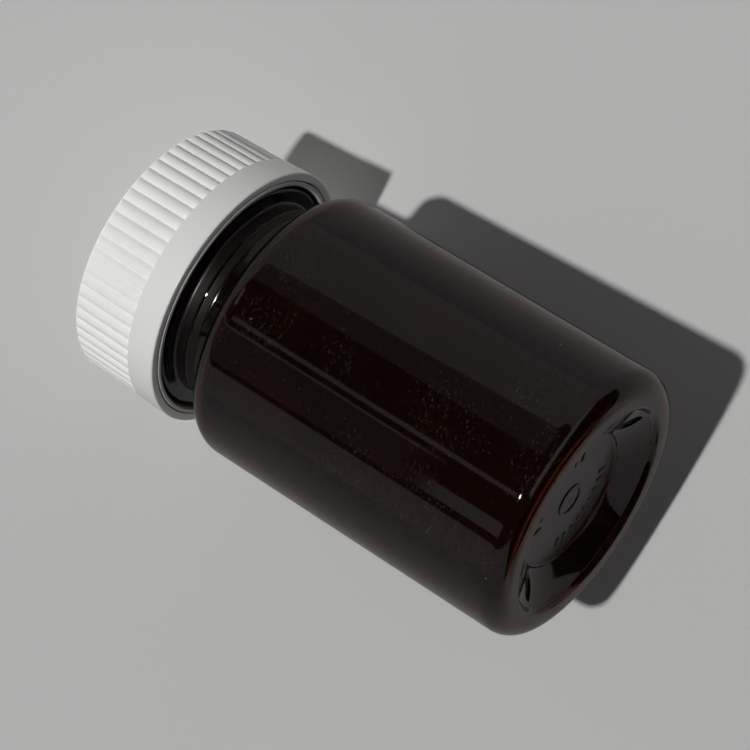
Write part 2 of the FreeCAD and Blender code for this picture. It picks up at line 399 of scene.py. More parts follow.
@dataclass(frozen=True)
class AmberPlastic:
    """Blown bottle plastic: very dark amber, clear only where light is strong."""

    radius: float
    neck_low: float
    neck_high: float
    neck_ridge: float
    panel_radius: float

    # Colour
    tint: Colour = (0.125, 0.032, 0.016)
    deep_tint: Colour = (0.095, 0.023, 0.012)
    cloud: Mottle = Mottle(55.0, 3.0, limits=(0.35, 0.7))
    index: float = 1.5

    # Roughness
    gloss: float = 0.03
    smudge: Mottle = Mottle(120.0, 4.0, 0.62, 0.8, (0.5, 0.72))
    smudge_gloss: float = 0.08
    panel_gloss: float = 0.2
    panel_soft: float = 0.3 * MM
    neck_gloss: float = 0.37
    neck_soft: float = 0.3 * MM
    ridge_half: float = 0.2 * MM
    ridge_soft: float = 0.05 * MM

    # Relief
    waves: Mottle = Mottle(95.0, 1.0)
    wave_squeeze: float = 0.45
    wave_depth: float = 0.03 * MM
    grain: Mottle = Mottle(5200.0)
    grain_depth: float = 0.0012 * MM
    lines: Mottle = Mottle(2600.0)
    line_squeeze: float = 0.02
    line_depth: float = 0.012 * MM

    # Wear
    scuff: Colour = (0.42, 0.38, 0.34)
    scuff_gloss: float = 0.55
    scuff_share: float = 0.55
    scuff_depth: float = 0.004 * MM
    handled: Mottle = Mottle(90.0, 1.0, limits=(0.42, 0.56))
    scratches: Streaks = Streaks(1.30, 1.2 * MM, 0.07 * MM, 0.70)
    crossing: Streaks = Streaks(1.80, 1.8 * MM, 0.06 * MM, 0.73)
    scratch_share: float = 0.3
    dust: Specks = Specks(0.8 * MM, 0.07 * MM, 0.7)
    dust_share: float = 0.42
    fluff: Specks = Specks(2.2 * MM, 0.13 * MM, 0.12)
    rubbing: Specks = Specks(0.4 * MM, 0.04 * MM, 0.4)
    rubbing_share: float = 0.3
    rubbing_limits: Point = (4 * MM, 2.5 * MM)

    def build(self) -> bpy.types.Material:
        """Make the material.

        Returns:
            The material.
        """
        material, graph = new_material("amber_plastic")
        place = object_place(graph)
        girth, height, reach = around_axis(graph, place, self.radius)
        wear = self._wear(graph, girth, height, place)
        neck = self._matt_neck(height)
        waves = self.waves.noise(graph, graph.vector(girth, height * self.wave_squeeze, 0.0))
        lines = self.lines.noise(graph, graph.vector(girth * self.line_squeeze, height, 0.0))
        normal = bump(graph, waves, self.wave_depth)
        normal = bump(graph, self.grain.noise(graph, place), self.grain_depth, normal)
        normal = bump(graph, lines * neck, self.line_depth, normal)
        normal = bump(graph, 1 - wear, self.scuff_depth, normal)
        cloud = self.cloud.mask(graph, place)
        clear = graph.value("ShaderNodeBsdfPrincipled", inputs={
            "Base Color": graph.mix(cloud, (*self.tint, 1), (*self.deep_tint, 1)),
            "Roughness": self._roughness(graph, place, reach, neck),
            "IOR": self.index, "Transmission Weight": 1.0, "Normal": normal})
        marked = graph.value("ShaderNodeBsdfPrincipled", inputs={
            "Base Color": (*self.scuff, 1), "Roughness": self.scuff_gloss,
            "IOR": self.index, "Normal": normal})
        graph.show(graph.value("ShaderNodeMixShader", inputs={
            0: wear * self.scuff_share, 1: clear, 2: marked}))
        return material

    def _matt_neck(self, height: Value) -> Value:
        """Mask the neck, apart from the crest of its upper ridge.

        Args:
            height: Distance along the axis.

        Returns:
            A mask that is 1 where the neck is matt.
        """
        neck = height.within(self.neck_low, self.neck_high, self.neck_soft)
        crest = height.within(self.neck_ridge - self.ridge_half,
                              self.neck_ridge + self.ridge_half, self.ridge_soft)
        return neck * (1 - crest)

    def _roughness(self, graph: Graph, place: Value, reach: Value, neck: Value) -> Value:
        """Make smudges, the base panel and the neck rougher than the rest.

        Args:
            graph: The tree.
            place: Where the surface is.
            reach: Distance from the axis.
            neck: The neck's mask.

        Returns:
            The roughness.
        """
        smudge = self.smudge.mask(graph, place)
        panel = reach.rise(self.panel_radius, self.panel_radius - self.panel_soft)
        rough = smudge * (self.smudge_gloss - self.gloss) + self.gloss
        rough = rough + panel * (self.panel_gloss - self.gloss)
        return rough + neck * (self.neck_gloss - self.gloss)

    def _wear(self, graph: Graph, girth: Value, height: Value, place: Value) -> Value:
        """Lay hairline scratches and dust over the bottle.

        Args:
            graph: The tree.
            girth: Distance round the axis.
            height: Distance along the axis.
            place: Where the surface is.

        Returns:
            A mask from 0, clean, to 1, marked.
        """
        scratches = self.scratches.mask(graph, girth, height)
        scratches = scratches.math("MAXIMUM", self.crossing.mask(graph, girth, height))
        scratches = scratches * self.handled.mask(graph, place) * self.scratch_share
        dust = self.dust.mask(graph, place) * self.dust_share
        rubbing = self.rubbing.mask(graph, place) * height.rise(*self.rubbing_limits)
        marks = scratches.math("MAXIMUM", dust).math("MAXIMUM", rubbing * self.rubbing_share)
        return marks.math("MAXIMUM", self.fluff.mask(graph, place))


@dataclass(frozen=True)
class WhitePlastic:
    """Moulded white closure plastic with a satin skin.

    Above a height its colour is painted lighter, as a painted highlight for the brighter light that
    the ribs there catch; by default the height lies above the whole object.
    """

    name: str
    painted_light_above: float = 1.0
    painted_light_soft: float = 0.3 * MM
    colour: Colour = (0.80, 0.80, 0.785)
    # painted highlight: the lighter colour above the height
    painted_light: Colour = (0.92, 0.92, 0.905)
    shade: Colour = (0.70, 0.695, 0.67)
    shade_share: float = 0.22
    cloud: Mottle = Mottle(160.0, 4.0, 0.6, limits=(0.45, 0.75))
    grime: Colour = (0.30, 0.27, 0.22)
    grime_share: float = 0.35
    grime_specks: Specks = Specks(2.6 * MM, 0.06 * MM, 0.05)
    index: float = 1.49
    gloss: float = 0.34
    worn_gloss: float = 0.5
    skin: Mottle = Mottle(4200.0, 3.0, 0.6)
    skin_depth: float = 0.004 * MM
    ripple: Mottle = Mottle(260.0)
    ripple_depth: float = 0.01 * MM

    def build(self) -> bpy.types.Material:
        """Make the material.

        Returns:
            The material.
        """
        material, graph = new_material(self.name)
        place = object_place(graph)
        _, _, height = graph.split(place)
        cloud = self.cloud.mask(graph, place)
        # painted highlight: the colour turns lighter above the height
        painted_light = height.rise(self.painted_light_above, self.painted_light_above + self.painted_light_soft)
        specks = self.grime_specks.mask(graph, place)
        colour = graph.mix(painted_light, (*self.colour, 1), (*self.painted_light, 1))
        colour = graph.mix(cloud * self.shade_share, colour, (*self.shade, 1))
        colour = graph.mix(specks * self.grime_share, colour, (*self.grime, 1))
        normal = bump(graph, self.ripple.noise(graph, place), self.ripple_depth)
        normal = bump(graph, self.skin.noise(graph, place), self.skin_depth, normal)
        graph.show(graph.value("ShaderNodeBsdfPrincipled", inputs={
            "Base Color": colour,
            "Roughness": cloud * (self.worn_gloss - self.gloss) + self.gloss,
            "IOR": self.index, "Normal": normal}))
        return material


@dataclass(frozen=True)
class SealingBoard:
    """Pulp board with a waxed face, as cap liners are cut from."""

    face: Colour = (0.86, 0.84, 0.78)
    fibre: Colour = (0.66, 0.60, 0.50)
    felt: Mottle = Mottle(900.0, 4.0, 0.65, 0.6)
    felt_squeeze: Point = (3.0, 6.0)
    felt_share: float = 0.25
    flecks: Mottle = Mottle(700.0, limits=(0.62, 0.7))
    fleck_squeeze: float = 6.0
    fleck_share: float = 0.5
    index: float = 1.45
    gloss: float = 0.4
    felt_gloss: float = 0.3
    nap_depth: float = 0.02 * MM

    def build(self) -> bpy.types.Material:
        """Make the material.

        Returns:
            The material.
        """
        material, graph = new_material("sealing_board")
        x, y, z = graph.split(object_place(graph))
        wide, deep = self.felt_squeeze
        felt = self.felt.noise(graph, graph.vector(x, y * wide, z * deep))
        flecks = self.flecks.mask(graph, graph.vector(x * self.fleck_squeeze, y, z))
        fibre = flecks * self.fleck_share + felt * self.felt_share
        graph.show(graph.value("ShaderNodeBsdfPrincipled", inputs={
            "Base Color": graph.mix(fibre, (*self.face, 1), (*self.fibre, 1)),
            "Roughness": felt * self.felt_gloss + self.gloss, "IOR": self.index,
            "Normal": bump(graph, felt, self.nap_depth)}))
        return material


@dataclass(frozen=True)
class PalePaper:
    """The pale sheet that the bottle lies on; it shows from its front only."""

    colour: Colour = (0.56, 0.56, 0.555)
    mirrored: float = 0.5
    gloss: float = 0.9
    tooth: Mottle = Mottle(1400.0, 4.0, 0.65)
    tooth_depth: float = 0.03 * MM

    def build(self) -> bpy.types.Material:
        """Make the material, which is darker where it is mirrored.

        Returns:
            The material.
        """
        material, graph = new_material("pale_paper")
        tooth = self.tooth.noise(graph, object_place(graph))
        glossy = graph.value("ShaderNodeLightPath", out="Is Glossy Ray")
        dimmed = tuple(self.mirrored * part for part in self.colour)
        paper = graph.value("ShaderNodeBsdfPrincipled", inputs={
            "Base Color": graph.mix(glossy, (*self.colour, 1), (*dimmed, 1)),
            "Roughness": self.gloss, "Normal": bump(graph, tooth, self.tooth_depth)})
        gone = graph.value("ShaderNodeBsdfTransparent")
        side = graph.value("ShaderNodeNewGeometry", out="Backfacing")
        graph.show(graph.value("ShaderNodeMixShader", inputs={0: side, 1: paper, 2: gone}))
        return material


# -------------------------------------------------------------------- meshes


def rounded_profile(corners: Sequence[Corner], step: float = math.radians(6),
                    shortest: float = 0.01 * MM) -> list[Point]:
    """Round the corners of an open outline.

    Each straight stretch gets a point a little way in from both its ends, so that
    smooth shading keeps it straight.

    Args:
        corners: (radius, height, rounding) of each corner, in metres.
        step: The angle between points on a rounding.
        shortest: The least distance between them, which makes small roundings coarser.

    Returns:
        Points of the outline as (radius, height).
    """
    points = [Vector(c[:2]) for c in corners]
    arcs: list[list[Vector]] = [[points[0]]]
    for i in range(1, len(points) - 1):
        corner, rounding = points[i], corners[i][2]
        before = (points[i - 1] - corner).normalized()
        after = (points[i + 1] - corner).normalized()
        if rounding == 0:
            arcs.append([corner])
            continue
        half = before.angle(after) / 2
        centre = corner + (before + after).normalized() * (rounding / math.sin(half))
        start = corner + before * (rounding / math.tan(half))
        sweep = math.pi - 2 * half
        turn = math.copysign(1, before.x * after.y - before.y * after.x)
        count = max(2, math.ceil(sweep * min(1 / step, rounding / shortest)))
        spoke = start - centre
        arcs.append([centre + Matrix.Rotation(-turn * sweep * k / count, 2) @ spoke
                     for k in range(count + 1)])
    arcs.append([points[-1]])
    return [(p.x, p.y) for p in _with_holding_points(arcs)]


def _with_holding_points(arcs: Sequence[list[Vector]], inset: float = 0.3 * MM,
                         shortest: float = 0.02 * MM) -> list[Vector]:
    """Join the arcs and add the points that hold straight stretches straight.

    Args:
        arcs: The points of each rounding or bare corner.
        inset: How far in a holding point lies, or less on a short stretch.
        shortest: The length above which a stretch gets them.

    Returns:
        All points in order.
    """
    out = list(arcs[0])
    for arc in arcs[1:]:
        gap = arc[0] - out[-1]
        if gap.length > shortest:
            way = gap.normalized() * min(inset, gap.length / 4)
            out += [out[-1] + way, arc[0] - way]
        out += arc
    return out


def subdivide(points: Sequence[Point], low: Point, high: Point, pitch: float) -> list[Point]:
    """Add evenly spaced points on the straight stretches between two points.

    Args:
        points: The outline.
        low: Corner of the box where points are added.
        high: The box's other corner.
        pitch: The largest distance between points there.

    Returns:
        The finer outline.
    """
    def inside(point: Point) -> bool:
        """Tell whether a point is in the box."""
        return low[0] <= point[0] <= high[0] and low[1] <= point[1] <= high[1]

    out = [points[0]]
    for start, end in zip(points, points[1:]):
        length = math.dist(start, end)
        count = math.ceil(length / pitch) if inside(start) and inside(end) else 1
        for k in range(1, count + 1):
            share = k / count
            out.append((start[0] + (end[0] - start[0]) * share,
                        start[1] + (end[1] - start[1]) * share))
    return out


def on_circle(radius: float, angle: float, height: float) -> Vector:
    """Place a point at a radius, an angle in radians and a height."""
    return Vector((radius * math.cos(angle), radius * math.sin(angle), height))


def grid_faces(rows: int, width: int, rows_meet: bool = False, ends_meet: bool = True,
               turned: bool = False) -> list[Face]:
    """Join points that are listed row by row with quads.

    Args:
        rows: How many rows there are.
        width: Points in a row.
        rows_meet: Whether the last row is joined to the first.
        ends_meet: Whether a row's last point is joined to its first.
        turned: Whether the faces look the other way.

    Returns:
        The faces.
    """
    faces: list[Face] = []
    for row in range(rows if rows_meet else rows - 1):
        here, there = row * width, (row + 1) % rows * width
        for k in range(width if ends_meet else width - 1):
            after = (k + 1) % width
            faces.append((here + k, here + after, there + after, there + k))
    return [(a, d, c, b) for a, b, c, d in faces] if turned else faces


def mesh_from(name: str, verts: Sequence[Sequence[float]],
              faces: Sequence[Sequence[int]], smooth: bool = True) -> bpy.types.Mesh:
    """Make a mesh.

    Args:
        name: Its name.
        verts: Its points.
        faces: Its faces, counterclockwise seen from outside.
        smooth: Whether it is shaded smooth.

    Returns:
        The mesh.
    """
    mesh = bpy.data.meshes.new(name)
    mesh.from_pydata(verts, [], faces)
    mesh.polygons.foreach_set("use_smooth", [smooth] * len(mesh.polygons))
    mesh.update()
    return mesh


def lathe(name: str, profile: Sequence[Point], angles: Sequence[float],
          shift: Callable[[float, float, float], Vector]) -> bpy.types.Mesh:
    """Turn an outline about the axis; it starts and ends on the axis.

    Args:
        name: The mesh's name.
        profile: Points (radius, height) in order, with the inside to their left.
        angles: The angle of each column, in radians, for a full turn.
        shift: How far a point moves, given its radius, angle and height.

    Returns:
        The closed mesh.
    """
    inner = profile[1:-1]
    verts = [on_circle(radius, angle, height) + shift(radius, angle, height)
             for radius, height in inner for angle in angles]
    columns = len(angles)
    faces = grid_faces(len(inner), columns)
    first, last = len(verts), len(verts) + 1
    verts += [Vector((0, 0, profile[0][1])), Vector((0, 0, profile[-1][1]))]
    top = (len(inner) - 1) * columns
    for k in range(columns):
        after = (k + 1) % columns
        faces.append((first, after, k))
        faces.append((last, top + k, top + after))
    return mesh_from(name, verts, faces)


def turned_band(name: str, section: Sequence[Point], columns: int) -> bpy.types.Mesh:
    """Turn a closed section that doesn't touch the axis.

    Args:
        name: The mesh's name.
        section: Points (radius, height) round the section.
        columns: Steps in a full turn.

    Returns:
        The closed ring.
    """
    verts = [on_circle(radius, TURN * i / columns, height)
             for i in range(columns) for radius, height in section]
    faces = grid_faces(columns, len(section), rows_meet=True, turned=True)
    return outward(mesh_from(name, verts, faces))


def sector_block(name: str, inner: float, outer: float, low: float, high: float,
                 span: float, steps: int = 6) -> bpy.types.Mesh:
    """Make a block between two radii, centred on +X.

    Args:
        name: The mesh's name.
        inner: Its inner radius.
        outer: Its outer radius.
        low: Its lowest height.
        high: Its highest height.
        span: The angle that it spans.
        steps: Flat stretches on its curved sides.

    Returns:
        The closed mesh, with sharp edges.
    """
    section = ((inner, low), (outer, low), (outer, high), (inner, high))
    width = len(section)
    verts = [on_circle(radius, -span / 2 + span * i / steps, height)
             for i in range(steps + 1) for radius, height in section]
    near_end = tuple(range(width))
    far_end = tuple(steps * width + k for k in reversed(range(width)))
    faces = grid_faces(steps + 1, width) + [near_end, far_end]
    return outward(mesh_from(name, verts, faces, smooth=False))


def rounded_bar(name: str, start: Vector, size: Vector, soft: float) -> bpy.types.Mesh:
    """Make a small bar with soft edges.

    Args:
        name: The mesh's name.
        start: The middle of its near end, at its lowest level.
        size: Its length, width and height.
        soft: Radius of its edges.

    Returns:
        The closed mesh.
    """
    work = bmesh.new()
    bmesh.ops.create_cube(work, size=1.0)
    for vert in work.verts:
        vert.co = Vector((start.x + (vert.co.x + 0.5) * size.x, start.y + vert.co.y * size.y,
                          start.z + (vert.co.z + 0.5) * size.z))
    bmesh.ops.bevel(work, geom=work.edges[:], offset=soft, segments=3, profile=0.5,
                    affect="EDGES")
    mesh = bpy.data.meshes.new(name)
    work.to_mesh(mesh)
    work.free()
    mesh.polygons.foreach_set("use_smooth", [True] * len(mesh.polygons))
    return mesh


def outward(mesh: bpy.types.Mesh) -> bpy.types.Mesh:
    """Turn the faces of a closed mesh outwards.

    Args:
        mesh: The mesh, changed in place.

    Returns:
        The same mesh.
    """
    work = bmesh.new()
    work.from_mesh(mesh)
    bmesh.ops.recalc_face_normals(work, faces=work.faces)
    work.to_mesh(mesh)
    work.free()
    return mesh


def joined(name: str, meshes: Iterable[bpy.types.Mesh]) -> bpy.types.Mesh:
    """Put several meshes into one.

    Args:
        name: The new mesh's name.
        meshes: What it holds; these are removed.

    Returns:
        The mesh, with no material.
    """
    work = bmesh.new()
    for mesh in meshes:
        work.from_mesh(mesh)
        bpy.data.meshes.remove(mesh)
    whole = bpy.data.meshes.new(name)
    work.to_mesh(whole)
    work.free()
    return whole


def add_object(name: str, data: bpy.types.ID) -> bpy.types.Object:
    """Add an object to the scene.

    Args:
        name: The object's name.
        data: Its mesh, light or camera.

    Returns:
        The object, at the origin.
    """
    added = bpy.data.objects.new(name, data)
    bpy.context.scene.collection.objects.link(added)
    return added


def place_piece(name: str, mesh: bpy.types.Mesh, material: bpy.types.Material, body: Body,
                slot: Slot, *stands_for: str) -> bpy.types.Object:
    """Show a finished mesh as a piece of the object.

    Args:
        name: The piece's name.
        mesh: Its mesh, in place.
        material: Its finish.
        body: What it rides on.
        slot: Not used.
        stands_for: The CAD nodes that it replaces.

    Returns:
        The object.
    """
    mesh.materials.clear()
    mesh.materials.append(material)
    piece = add_object(name, mesh)
    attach(piece, body.value)
    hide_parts(*stands_for)
    LOG.info("%s: %d faces, rides on %s", name, len(mesh.polygons), body.value)
    return piece


def dress(node: str, material: bpy.types.Material) -> None:
    """Give a CAD node a finish and keep its mesh.

    Args:
        node: The node's name.
        material: Its finish.
    """
    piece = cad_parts[node]
    piece.data.materials.clear()
    piece.data.materials.append(material)
    LOG.info("%s: dressed as it is, %d faces", node, len(piece.data.polygons))


# ------------------------------------------------------------ geometry nodes


class Pattern:
    """A Geometry Nodes tree with named inputs, used through a modifier."""

    def __init__(self, name: str, **sizes: str) -> None:
        """Start the tree.

        Args:
            name: The tree's name.
            sizes: The named inputs, each with the last word of its socket type.
        """
        self.tree = bpy.data.node_groups.new(name, "GeometryNodeTree")
        face = self.tree.interface
        kinds = {"Geometry": "Geometry", **sizes, "Material": "Material"}
        for label, kind in kinds.items():
            face.new_socket(label, in_out="INPUT", socket_type=f"NodeSocket{kind}")
        face.new_socket("Geometry", in_out="OUTPUT", socket_type="NodeSocketGeometry")
        self.graph = Graph(self.tree)
        self.inputs = self.graph.add("NodeGroupInput")

    def size(self, label: str) -> Value:
        """Return a named input."""
        return Value(self.graph, self.inputs.outputs[label])

    def close(self, geometry: Value, weld: float) -> None:
        """End the tree: realize, weld, set the material.

        Args:
            geometry: What the tree made.
            weld: Distance within which points are merged.
        """
        graph = self.graph
        real = graph.value("GeometryNodeRealizeInstances", inputs={"Geometry": geometry})
        whole = graph.value("GeometryNodeMergeByDistance",
                            inputs={"Geometry": real, "Distance": weld})
        done = graph.value("GeometryNodeSetMaterial",
                           inputs={"Geometry": whole, "Material": self.size("Material")})
        graph.add("NodeGroupOutput", inputs={0: done})

    def apply(self, mesh: bpy.types.Mesh, material: bpy.types.Material,
              **sizes: float) -> bpy.types.Mesh:
        """Run the tree on a mesh.

        Args:
            mesh: What goes in; it is removed.
            material: The finish that comes out.
            sizes: Values of the named inputs.

        Returns:
            The plain mesh that comes out.
        """
        holder = add_object("holder", mesh)
        modifier = holder.modifiers.new("pattern", "NODES")
        modifier.node_group = self.tree
        sockets = {s.name: s.identifier for s in self.tree.interface.items_tree
                   if s.in_out == "INPUT"}
        for label, value in {**sizes, "Material": material}.items():
            modifier[sockets[label]] = value
        graph = bpy.context.evaluated_depsgraph_get()
        result = bpy.data.meshes.new_from_object(holder.evaluated_get(graph))
        holder.modifiers.remove(modifier)
        bpy.data.objects.remove(holder)
        bpy.data.meshes.remove(mesh)
        return result


def ring_pattern() -> Pattern:
    """Build the tree that repeats a shape about the axis.

    Returns:
        The pattern, with inputs Count, Step and First; angles are in radians.
    """
    pattern = Pattern("repeat_about_axis", Count="Int", Step="Float", First="Float")
    graph = pattern.graph
    index = graph.value("GeometryNodeInputIndex")
    angle = index * pattern.size("Step") + pattern.size("First")
    points = graph.value("GeometryNodePoints", inputs={"Count": pattern.size("Count")})
    turn = graph.value("FunctionNodeEulerToRotation",
                       inputs={"Euler": graph.vector(0.0, 0.0, angle)})
    copies = graph.value("GeometryNodeInstanceOnPoints", inputs={
        "Points": points, "Instance": pattern.size("Geometry"), "Rotation": turn})
    pattern.close(copies, weld=RING_WELD)
    return pattern


def helix_pattern() -> Pattern:
    """Build the tree that winds a straight bar on a helix about the axis.

    The bar runs along x from 0 to 1; its y is added to the radius, its z to the height.

    Returns:
        The pattern, with inputs Radius, Pitch, Turns, Start and Phase.
    """
    pattern = Pattern("wind_on_helix", Radius="Float", Pitch="Float", Turns="Float",
                      Start="Float", Phase="Float")
    graph = pattern.graph
    along, out, up = graph.split(graph.value("GeometryNodeInputPosition"))
    turned = along * pattern.size("Turns")
    angle = turned * TURN + pattern.size("Phase")
    radius = out + pattern.size("Radius")
    height = up + turned * pattern.size("Pitch") + pattern.size("Start")
    place = graph.vector(radius * angle.math("COSINE"), radius * angle.math("SINE"), height)
    wound = graph.value("GeometryNodeSetPosition", inputs={
        "Geometry": pattern.size("Geometry"), "Position": place})
    pattern.close(wound, weld=HELIX_WELD)
    return pattern


# --------------------------------------------------------------- the bottle


@dataclass
class ThreadBar:
    """One start of thread, as a straight bar that the helix pattern winds."""

    depth: float
    root_half: float
    crest_half: float
    turns: float
    embed: float = 0.3 * MM
    soft: float = 0.18 * MM
    soft_step: float = math.radians(20)
    fade_angle: float = math.radians(20)
    steps_per_turn: int = 150

    def mesh(self) -> bpy.types.Mesh:
        """Build the straight bar, which sinks into its wall at both ends.

        Returns:
            The closed mesh; y is outwards from the wall.
        """
        steps = math.ceil(self.steps_per_turn * self.turns)
        fade = self.fade_angle / (TURN * self.turns)
        section = self._section()
        verts: list[Vector] = []
        for i in range(steps + 1):
            along = i / steps
            run = min(along, 1 - along) / fade
            lift = math.sin(min(run, 1.0) * math.pi / 2)
            for up, out in section:
                verts.append(Vector((along, out * lift if out > 0 else out, up)))
        width = len(section)
        faces = grid_faces(steps + 1, width)
        faces.append(tuple(reversed(range(width))))
        faces.append(tuple(steps * width + k for k in range(width)))
        return mesh_from("thread_bar", verts, [tuple(reversed(face)) for face in faces])

    def _section(self) -> list[Point]:
        """Outline the bar's cross-section.

        Returns:
            Points as (along the axis, out of the wall).
        """
        foot = [(self.root_half, 0.0, 0.0), (self.root_half, -self.embed, 0.0)]
        crest = (self.crest_half, self.depth, self.soft)
        half = [crest, *foot]
        mirrored = [(-along, out, soft) for along, out, soft in reversed(half)]
        return rounded_profile(mirrored + half, self.soft_step)


@dataclass
class Bottle:
    """The one-piece bottle: base, barrel, shoulder, neck, bead, thread and marks."""

    ring: Pattern
    helix: Pattern

    # Body
    wall: float = 0.9 * MM
    heel: float = 3.1 * MM
    shoulder: float = 3.73 * MM
    shoulder_slope: float = math.radians(8)
    shoulder_height: float = 58.0 * MM

    # Foot and push-up
    foot_radius: float = 16.9 * MM
    foot_step: float = 0.9 * MM
    foot_run: float = 0.7 * MM
    foot_blend: float = 0.3 * MM
    panel_radius: float = 11.0 * MM
    panel_height: float = 3.5 * MM
    panel_step: float = 0.3 * MM
    panel_round: float = 0.12 * MM
    base_wall: float = 1.3 * MM
    inner_corner: float = 2.4 * MM

    # Neck, bead and mouth
    neck_radius: float = 16.0 * MM
    bore_radius: float = 15.0 * MM
    neck_blend: float = 1.2 * MM
    neck_step: float = 60.5 * MM
    neck_ridge: float = 62.15 * MM
    ridge_half: float = 0.17 * MM
    ridge_height: float = 0.045 * MM
    bead_radius: float = 18.6 * MM
    bead_underside: float = 64.3 * MM
    bead_rise: float = 0.35 * MM
    bead_height: float = 1.9 * MM
    bead_root_round: float = 0.6 * MM
    bead_edge_round: float = 0.9 * MM
    bead_top_round: float = 0.6 * MM
    finish_radius: float = 17.4 * MM
    finish_root_round: float = 0.4 * MM
    mouth_round: float = 0.5 * MM

    # Thread
    thread_pitch: float = 4.233 * MM
    thread_turns: float = 1.1
    thread_depth: float = 1.2 * MM
    thread_root_half: float = 1.15 * MM
    thread_crest_half: float = 0.5 * MM
    thread_drop: float = 1.3 * MM

    # The two pockets in the push-up's slope
    pocket_length: float = 5.1 * MM
    pocket_width: float = 2.3 * MM
    pocket_depth: float = 0.35 * MM
    pocket_edge: float = 0.3 * MM
    pocket_tilt: float = math.radians(35)

    # Raised marks on the base panel
    mark_height: float = 0.16 * MM
    mark_sink: float = 0.1 * MM
    mark_soft: float = 0.13 * MM
    mark_soft_step: float = math.radians(22)
    mark_ring_radius: float = 2.7 * MM
    mark_ring_width: float = 0.55 * MM
    mark_ring_columns: int = 96
    mark_arc_radius: float = 7.0 * MM
    mark_bar_length: float = 1.7 * MM
    mark_bar_width: float = 0.5 * MM
    mark_bars: int = 9
    mark_bar_step: float = math.radians(13)

    # Spacing of the mesh, which is finer on the slope and where the pockets are
    row_pitch: float = 0.14 * MM
    slope_pitch: float = 0.13 * MM
    slope_margin: float = 0.1 * MM
    slope_reach: float = 0.05 * MM
    columns: int = 200
    fine_columns: int = 64
    fine_half: float = math.radians(13)

    def __post_init__(self) -> None:
        """Take the overall sizes from the frame."""
        low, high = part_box("bottle")
        self.radius = (high.x - low.x) / 2
        self.mouth_height = high.z

    def build(self) -> bpy.types.Object:
        """Build the bottle as one mesh and dress it.

        Returns:
            The piece.
        """
        finish = AmberPlastic(
            radius=self.radius, neck_low=self.neck_step, neck_high=self.bead_underside,
            neck_ridge=self.neck_ridge, panel_radius=self.panel_radius).build()
        parts = [self._wall_mesh(), self._thread(finish), *self._marks(finish)]
        mesh = joined("bottle_mesh", parts)
        return place_piece("bottle_wall", mesh, finish, Body.BOTTLE, Slot.AMBER, "bottle")

    def _wall_mesh(self) -> bpy.types.Mesh:
        """Turn the wall, with the two pockets pressed into the push-up.

        Returns:
            The closed mesh.
        """
        profile = rounded_profile(self._corners(), shortest=self.row_pitch)
        slope_low = (self.panel_radius, 0.0)
        slope_high = (self.foot_radius - self.foot_run + self.slope_margin, self.panel_height)
        profile = subdivide(profile, slope_low, slope_high, self.slope_pitch)
        return lathe("wall", profile, self._angles(), self._pocket_shift)

    def _corners(self) -> list[Corner]:
        """List the wall's corners from the base panel round to the inside.

        Returns:
            The corners.
        """
        fall = math.tan(self.shoulder_slope)
        outer_crown = self.shoulder_height - (self.radius - self.neck_radius) * fall
        inner_radius = self.radius - self.wall
        inner_crown = outer_crown - self.wall
        inner_neck = inner_crown + (inner_radius - self.bore_radius) * fall
        bead_top = self.bead_underside + self.bead_height
        return [
            (0, self.panel_height, 0),
            (self.panel_radius, self.panel_height, self.panel_round),
            (self.panel_radius + self.panel_step / 2, self.panel_height - self.panel_step,
             self.panel_round),
            (self.foot_radius - self.foot_run, self.foot_step, self.foot_blend),
            (self.foot_radius, 0, self.foot_blend),
            (self.radius, 0, self.heel),
            (self.radius, outer_crown, self.shoulder),
            (self.neck_radius, self.shoulder_height, self.neck_blend),
            *self._neck_ridges(),
            (self.neck_radius, self.bead_underside, self.bead_root_round),
            (self.bead_radius, self.bead_underside + self.bead_rise, self.bead_edge_round),
            (self.bead_radius, bead_top, self.bead_top_round),
            (self.finish_radius, bead_top, self.finish_root_round),
            (self.finish_radius, self.mouth_height, self.mouth_round),
            (self.bore_radius, self.mouth_height, self.mouth_round),
            (self.bore_radius, inner_neck, self.neck_blend),
            (inner_radius, inner_crown, self.shoulder - self.wall),
            (inner_radius, self.base_wall, self.inner_corner),
            (self.foot_radius + self.foot_blend, self.base_wall, self.base_wall),
            (self.panel_radius - self.panel_step, self.panel_height + self.base_wall,
             self.base_wall),
            (0, self.panel_height + self.base_wall, 0),
        ]

    def _neck_ridges(self) -> list[Corner]:
        """List the corners of the two fine ridges that the mould leaves on the neck.

        Returns:
            The corners, from the lower ridge up.
        """
        half, crest = self.ridge_half, self.neck_radius + self.ridge_height
        return [corner for middle in (self.neck_step, self.neck_ridge)
                for corner in ((self.neck_radius, middle - half, 0), (crest, middle, half / 2),
                               (self.neck_radius, middle + half, 0))]

    def _angles(self) -> list[float]:
        """Space the columns, closer together where the pockets are.

        Returns:
            The angle of each column, over a full turn.
        """
        fine, wide = 2 * self.fine_half, math.pi - 2 * self.fine_half
        coarse = self.columns // 2
        angles: list[float] = []
        for start in (0.0, math.pi):
            angles += [start - self.fine_half + fine * k / self.fine_columns
                       for k in range(self.fine_columns)]
            angles += [start + self.fine_half + wide * k / coarse for k in range(coarse)]
        return angles

